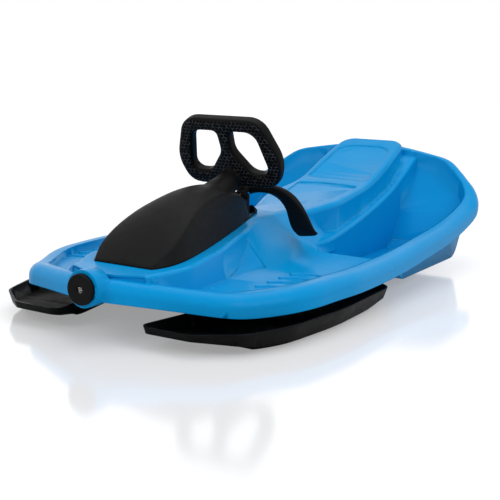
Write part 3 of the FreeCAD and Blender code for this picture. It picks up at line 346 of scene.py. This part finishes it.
def hexagons():
    """Honeycomb in the wheel's plane: Line is 1 on the cell edges and fades to 0 inside the cells."""
    group, given, result = node_group("hexagons", {"Cell": ("NodeSocketFloat", COMB_CELL)},
                                      {"Line": "NodeSocketFloat"})
    place = object_place(group)
    across = measure(group, "DOT_PRODUCT", place, (1, 0, 0))
    upward = measure(group, "DOT_PRODUCT", place, WHEEL_UP)
    cells = placed(group, "ShaderNodeCombineXYZ", {
        "X": number(group, "DIVIDE", across, given["Cell"]),
        "Y": number(group, "DIVIDE", upward, given["Cell"]),
    }).outputs["Vector"]

    # Two rectangular grids of cell centres, half a step apart; the nearer centre counts
    half = (0.5, math.sqrt(3) / 2, 0.5)
    low = tuple(-part for part in half)
    first = vector(group, "WRAP", cells, half, low)
    second = vector(group, "WRAP", vector(group, "SUBTRACT", cells, half), half, low)
    nearer = number(group, "LESS_THAN", measure(group, "LENGTH", first), measure(group, "LENGTH", second))
    step = scaled(group, vector(group, "SUBTRACT", first, second), nearer)
    inside = vector(group, "ABSOLUTE", vector(group, "ADD", second, step))

    slant = measure(group, "DOT_PRODUCT", inside, (0.5, math.sqrt(3) / 2, 0))
    level = measure(group, "DOT_PRODUCT", inside, (1, 0, 0))
    line = ramp(group, number(group, "MAXIMUM", slant, level), *COMB_EDGE, interpolation_type="SMOOTHSTEP")
    group.links.new(line, result["Line"])
    return group


SKIN = moulded_skin()
HEXAGONS = hexagons()


# Materials
def moulded(name, colour, smooth, rough, grain, depth, edge, shine):
    """Moulded plastic with grain and softly rounded edges."""
    material, tree, shader = principled(name)
    link = tree.links.new
    values = {"Colour": colour, "Grain Scale": grain, "Smooth": smooth, "Rough": rough}
    skin = placed(tree, "ShaderNodeGroup", values, node_tree=SKIN)
    soft = placed(tree, "ShaderNodeBevel", {"Radius": edge}, samples=EDGE_SAMPLES)
    bump = placed(tree, "ShaderNodeBump", {
        "Distance": depth,
        "Strength": GRAIN_STRENGTH,
        "Height": skin.outputs["Height"],
        "Normal": soft.outputs["Normal"],
    })
    link(skin.outputs["Colour"], shader.inputs["Base Color"])
    link(skin.outputs["Roughness"], shader.inputs["Roughness"])
    link(bump.outputs["Normal"], shader.inputs["Normal"])
    shader.inputs["Specular IOR Level"].default_value = shine
    return material


def honeycombed(material, glint_colour):
    """Add a honeycomb to a plastic, on the faces square to the column: a ridge, and a painted glint in a
    paler colour along its lines, broken up by noise.
    """
    tree = material.node_tree
    shader = tree.nodes["Principled BSDF"]
    base, normal = shader.inputs["Base Color"], shader.inputs["Normal"]
    comb = placed(tree, "ShaderNodeGroup", {}, node_tree=HEXAGONS)
    outward = tree.nodes.new("ShaderNodeTexCoord").outputs["Normal"]
    facing = number(tree, "ABSOLUTE", measure(tree, "DOT_PRODUCT", outward, COLUMN))
    line = number(tree, "MULTIPLY", comb.outputs["Line"], ramp(tree, facing, *COMB_FACING))
    # painted glint: the lines are lightened where the noise lets it, standing in for light catching them
    glint_noise = noise(tree, object_place(tree), Scale=COMB_GLINT_BREAK_SCALE)
    glint_share = ramp(tree, glint_noise, *COMB_GLINT_BREAKS, COMB_GLINT_LEAST)
    painted_glint = number(tree, "MULTIPLY", line, glint_share)
    ridge = placed(tree, "ShaderNodeBump", {
        "Distance": COMB_RIDGE,
        "Height": line,
        "Normal": normal.links[0].from_socket,
    })
    tree.links.new(mixed(tree, painted_glint, base.links[0].from_socket, glint_colour), base)
    tree.links.new(ridge.outputs["Normal"], normal)
    return material


def metal(name, colour, smooth, rough, brush):
    """Plated or turned metal with fine brushing."""
    material, tree, shader = principled(name)
    drawn = placed(tree, "ShaderNodeMapping", {"Vector": object_place(tree), "Scale": brush})
    brushed = noise(tree, drawn.outputs["Vector"], Scale=BRUSH_SCALE, Detail=BRUSH_DETAIL)
    tree.links.new(mixed(tree, brushed, colour, darker(colour, BRUSH_SHADE)), shader.inputs["Base Color"])
    tree.links.new(ramp(tree, brushed, 0.0, 1.0, smooth, rough), shader.inputs["Roughness"])
    shader.inputs["Metallic"].default_value = 1.0
    return material


def braided(name, colour):
    """Braided rope: a slanted weave in colour and height."""
    material, tree, shader = principled(name)
    values = {"Vector": object_place(tree), "Scale": WEAVE_SCALE, "Distortion": WEAVE_BEND}
    bands = placed(tree, "ShaderNodeTexWave", values, wave_type="BANDS", bands_direction="DIAGONAL")
    weave = bands.outputs["Fac"]
    bump = placed(tree, "ShaderNodeBump", {"Distance": WEAVE_DEPTH, "Height": weave})
    tree.links.new(mixed(tree, weave, darker(colour, WEAVE_SHADE), colour), shader.inputs["Base Color"])
    tree.links.new(bump.outputs["Normal"], shader.inputs["Normal"])
    shader.inputs["Roughness"].default_value = ROPE_ROUGHNESS
    return material


hull_plastic = moulded("azure_hull", AZURE, smooth=0.20, rough=0.30, grain=700.0, depth=0.00001,
                       edge=0.0025, shine=HULL_SHINE)
cowl_plastic = moulded("satin_black", SATIN_BLACK, smooth=0.42, rough=0.56, grain=1400.0, depth=0.00012,
                       edge=0.004, shine=BLACK_SHINE)
lever_plastic = moulded("lever_black", SATIN_BLACK, smooth=0.36, rough=0.50, grain=1400.0, depth=0.00010,
                        edge=0.003, shine=BLACK_SHINE)
plain_grip = moulded("grip_black", GRIP_BLACK, smooth=0.34, rough=0.50, grain=1400.0, depth=0.00010,
                     edge=0.003, shine=BLACK_SHINE)
# the honeycomb's paler lines are a painted glint
grip_plastic = honeycombed(plain_grip, GRIP_LINE_GLINT)
ski_plastic = moulded("ski_black", SKI_BLACK, smooth=0.30, rough=0.46, grain=900.0, depth=0.00010,
                      edge=0.003, shine=BLACK_SHINE)
bearing_plastic = moulded("bearing_black", BEARING_BLACK, smooth=0.42, rough=0.55, grain=1200.0,
                          depth=0.00005, edge=0.001, shine=BEARING_SHINE)
zinc_steel = metal("zinc_steel", ZINC, smooth=0.28, rough=0.45, brush=(1, 14, 14))
insert_brass = metal("insert_brass", BRASS, smooth=0.25, rough=0.40, brush=(8, 8, 1))
rope_fabric = braided("braided_rope", ROPE_PALE)


# Closings of the hull's hollow forms
def wall(name, points, faces, smooth=False):
    """Thin wall on a sheet of faces."""
    mesh = bpy.data.meshes.new(name)
    mesh.from_pydata(points, [], faces)
    obj = linked(name, mesh)
    if smooth:
        activate(obj)
        bpy.ops.object.shade_smooth()
    return finish_with(obj, "wall", "SOLIDIFY", thickness=CLOSING_WALL, offset=0)


def nose_wall():
    """Bulkhead under the front edge of the plinth, along the rim's inner side."""
    line = [(-x, y, z) for x, y, z in reversed(NOSE_LINE[1:])] + NOSE_LINE
    points, faces = [], []
    for (x0, y0, z0), (x1, y1, z1) in zip(line, line[1:]):
        faces.append([len(points) + corner for corner in range(4)])
        points += [(x0, y0, NOSE_LOW), (x1, y1, NOSE_LOW), (x1, y1, z1), (x0, y0, z0)]
    return wall("nose_wall", points, faces)


def plinth_side(y, z):
    """Half width of the plinth."""
    return PLINTH_SIDE + PLINTH_TAPER * (y - PLINTH_Y) + PLINTH_DRAFT * (z - PLINTH_Z)


def flare(side):
    """Hollow sweep from the plinth's side to the bridge, which closes the bridge's end."""
    spread = BRIDGE_FOOT - plinth_side(BRIDGE_END, FLARE_LOW)
    points, faces = [], []
    for k in range(FLARE_STEPS + 1):
        t = k / FLARE_STEPS
        fade = (1 - t) ** 2
        y = BRIDGE_END - FLARE_LENGTH * t
        top = FLARE_LOW + (FLARE_TOP - FLARE_LOW) * fade
        foot_x = plinth_side(y, FLARE_LOW) + spread * fade
        for row in range(FLARE_ROWS + 1):
            s = row / FLARE_ROWS
            sag = FLARE_SAG * math.sin(math.pi * s) * 4 * t * (1 - t)
            x = foot_x + (plinth_side(y, top) - foot_x) * s - sag
            points.append((side * x, y, FLARE_LOW + (top - FLARE_LOW) * s))
    for k in range(FLARE_STEPS):
        for row in range(FLARE_ROWS):
            corner = k * (FLARE_ROWS + 1) + row
            faces.append([corner, corner + 1, corner + FLARE_ROWS + 2, corner + FLARE_ROWS + 1])
    return wall("flare", points, faces, smooth=True)


def backrest_edge():
    """Rounded top edge at the backrest's rear, round its two corners."""
    points = []
    for k in range(-BACK_STEPS, BACK_STEPS + 1):
        turn = abs(k) / BACK_STEPS * BACK_SWEEP
        side = math.copysign(1, k) if k else 0
        x = side * (BACK_CORNER.x + BACK_TURN * math.sin(turn))
        y = BACK_CORNER.y + BACK_TURN * math.cos(turn)
        points.append((x, y, BACK_CORNER.z + BACK_SLOPE * y))
    return strand("backrest_edge", points, BACK_EDGE)


# Rope: knot in the handle, three-strand rope behind it and the turns on the drum
def strand(name, points, radius, closed=False):
    """Round strand along a smooth curve that follows its points, as a mesh."""
    curve = bpy.data.curves.new(name, "CURVE")
    curve.dimensions = "3D"
    spline = curve.splines.new("NURBS")
    spline.points.add(len(points) - 1)
    for point, place in zip(spline.points, points):
        point.co = (*place, 1)
    spline.order_u = 3
    spline.use_cyclic_u = closed
    spline.use_endpoint_u = not closed
    curve.bevel_depth = radius
    curve.bevel_resolution = STRAND_FACES
    curve.use_fill_caps = True
    activate(linked(name, curve))
    bpy.ops.object.convert(target="MESH")
    bpy.ops.object.shade_smooth()
    return bpy.context.object


def middle_and_half(node):
    """Middle of a solid's box, and half its size."""
    low, high = (Vector(corner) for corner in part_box(node))
    return (low + high) / 2, (high - low) / 2


def knot():
    """Trefoil of rope in the space of the knot's solid."""
    middle, half = middle_and_half("rope_knot")
    radius = half.y * KNOT_RADIUS
    swing = (half.x - radius) / 3
    steps = 3 * ROUND_STEPS
    points = []
    for k in range(steps):
        t = 2 * math.pi * k / steps
        points.append(middle + Vector((swing * (math.sin(t) + 2 * math.sin(2 * t)),
                                       (half.y - radius) * -math.sin(3 * t),
                                       swing * (math.cos(t) - 2 * math.cos(2 * t)))))
    tied = strand("knot", points, radius, closed=True)
    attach(stands_for(tied, "rope_knot", rope_fabric), BODY_OF["rope_knot"])


def pulled_rope():
    """Laid rope from the knot to the reel."""
    middle, half = middle_and_half("tow_rope")
    radius = half.x
    turns = 2 * half.y / ROPE_LAY
    steps = round(turns * ROUND_STEPS)
    strands = []
    for n in range(STRANDS):
        points = []
        for k in range(steps + 1):
            t = 2 * math.pi * (turns * k / steps + n / STRANDS)
            off = Vector((math.cos(t), 0, math.sin(t))) * radius * STRAND_OFFSET
            points.append(middle + Vector((0, half.y * (2 * k / steps - 1), 0)) + off)
        strands.append(strand(f"rope_strand_{n}", points, radius * STRAND_RADIUS))
    rope = stands_for(joined(strands, "laid_rope"), "tow_rope", rope_fabric)
    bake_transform(rope)


def winding():
    """Turns of rope side by side on the drum."""
    middle, half = middle_and_half("rope_winding")
    radius = middle_and_half("tow_rope")[1].x
    turn_r = half.x - radius
    rise = half.z - radius
    turns = rise / radius
    steps = round(turns * ROUND_STEPS)
    points = []
    for k in range(steps + 1):
        t = 2 * math.pi * turns * k / steps
        height = rise * (2 * k / steps - 1)
        points.append(middle + Vector((turn_r * math.cos(t), turn_r * math.sin(t), height)))
    wound = strand("wound_rope", points, radius * TURN_RADIUS)
    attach(stands_for(wound, "rope_winding", rope_fabric), BODY_OF["rope_winding"])


# Moulded pieces that show
PIECES = {
    "hull": ("hull_shell", hull_plastic),
    "cowl": ("cowl_hood", cowl_plastic),
    "steering_wheel": ("wheel_yoke", grip_plastic),
    "brake_lever": ("brake_yoke", lever_plastic),
    "ski_left": ("ski_tray_left", ski_plastic),
    "ski_right": ("ski_tray_right", ski_plastic),
    "tow_handle": ("tow_disc", lever_plastic),
}
ADDED = {"hull": [nose_wall(), flare(1), flare(-1), backrest_edge()]}
ROUNDS = {"steering_wheel": WHEEL_ROUNDS}
for node, (name, material) in PIECES.items():
    dressed(node, name, material, ADDED.get(node, ()), ROUNDS.get(node, 0))
knot()
pulled_rope()
winding()

# Mechanism: its solids stay and get their finishes, and the brake's steel is painted
FINISHES = {"bearing_plastic": bearing_plastic, "zinc_steel": zinc_steel, "insert_brass": insert_brass}
PAINTED = ["brake_bracket", "brake_shaft"]
for node, slot in SLOT_OF.items():
    if node not in PIECES and slot in FINISHES:
        coat(frame["nodes"][node], FINISHES[slot])
for node in PAINTED:
    coat(frame["nodes"][node], lever_plastic)


# Stage: floor, light and camera
def floor():
    """Pale floor that reflects a little and looks white to the camera."""
    bpy.ops.mesh.primitive_plane_add(size=FLOOR_SIZE, location=(0, 0, FLOOR_DROP))
    ground = bpy.context.object
    ground.name = "floor"
    material, tree, shader = principled("pale_floor")
    shader.inputs["Base Color"].default_value = FLOOR_WHITE
    shader.inputs["Roughness"].default_value = FLOOR_ROUGHNESS
    shader.inputs["Specular IOR Level"].default_value = FLOOR_SPECULAR
    shader.inputs["IOR"].default_value = FLOOR_IOR
    plain = shader.outputs["BSDF"]
    seen = tree.nodes.new("ShaderNodeLightPath").outputs["Is Camera Ray"]
    glow = placed(tree, "ShaderNodeEmission", {"Strength": FLOOR_GLOW}).outputs["Emission"]
    lit = placed(tree, "ShaderNodeAddShader", {0: plain, 1: glow}).outputs["Shader"]
    pick = placed(tree, "ShaderNodeMixShader", {"Fac": seen, 1: plain, 2: lit}).outputs["Shader"]
    tree.links.new(pick, tree.nodes["Material Output"].inputs["Surface"])
    coat(ground, material)


def softbox(name, place, aim, size, power):
    """Rectangular lamp that points at a place."""
    lamp = bpy.data.lights.new(name, "AREA")
    lamp.shape = "RECTANGLE"
    lamp.size, lamp.size_y = size
    lamp.energy = power
    obj = linked(name, lamp)
    obj.location = place
    obj.rotation_euler = (Vector(aim) - Vector(place)).to_track_quat("-Z", "Y").to_euler()


def studio():
    """Soft fill light; the camera, reflections and glass see plain white."""
    world = bpy.data.worlds.new("studio")
    bpy.context.scene.world = world
    world.use_nodes = True
    tree = world.node_tree
    fill = tree.nodes["Background"]
    fill.inputs["Color"].default_value = FILL_WHITE
    fill.inputs["Strength"].default_value = FILL_STRENGTH
    white = placed(tree, "ShaderNodeBackground", {"Color": (1, 1, 1, 1), "Strength": 1.0})
    ray = tree.nodes.new("ShaderNodeLightPath").outputs
    direct = number(tree, "MAXIMUM", ray["Is Camera Ray"], ray["Is Glossy Ray"])
    seen = number(tree, "MAXIMUM", direct, ray["Is Transmission Ray"])
    pick = placed(tree, "ShaderNodeMixShader", {
        "Fac": seen,
        1: fill.outputs["Background"],
        2: white.outputs["Background"],
    })
    tree.links.new(pick.outputs["Shader"], tree.nodes["World Output"].inputs["Surface"])
    for name, (place, aim, size, power) in SOFTBOXES.items():
        softbox(name, place, aim, size, power)


def camera():
    """Camera at the photograph's viewing angle."""
    data = bpy.data.cameras.new("photo_camera")
    data.sensor_width = CAMERA_SENSOR
    data.lens = CAMERA_LENS
    data.clip_end = CAMERA_REACH
    obj = linked("photo_camera", data)
    obj.matrix_world = (Matrix.Translation(CAMERA_AT) @ Matrix.Rotation(CAMERA_AZIMUTH, 4, "Z")
                        @ Matrix.Rotation(math.pi / 2 - CAMERA_ELEVATION, 4, "X")
                        @ Matrix.Rotation(CAMERA_ROLL, 4, "Z"))
    bpy.context.scene.camera = obj


floor()
studio()
camera()
bpy.context.scene.view_settings.view_transform = "Standard"
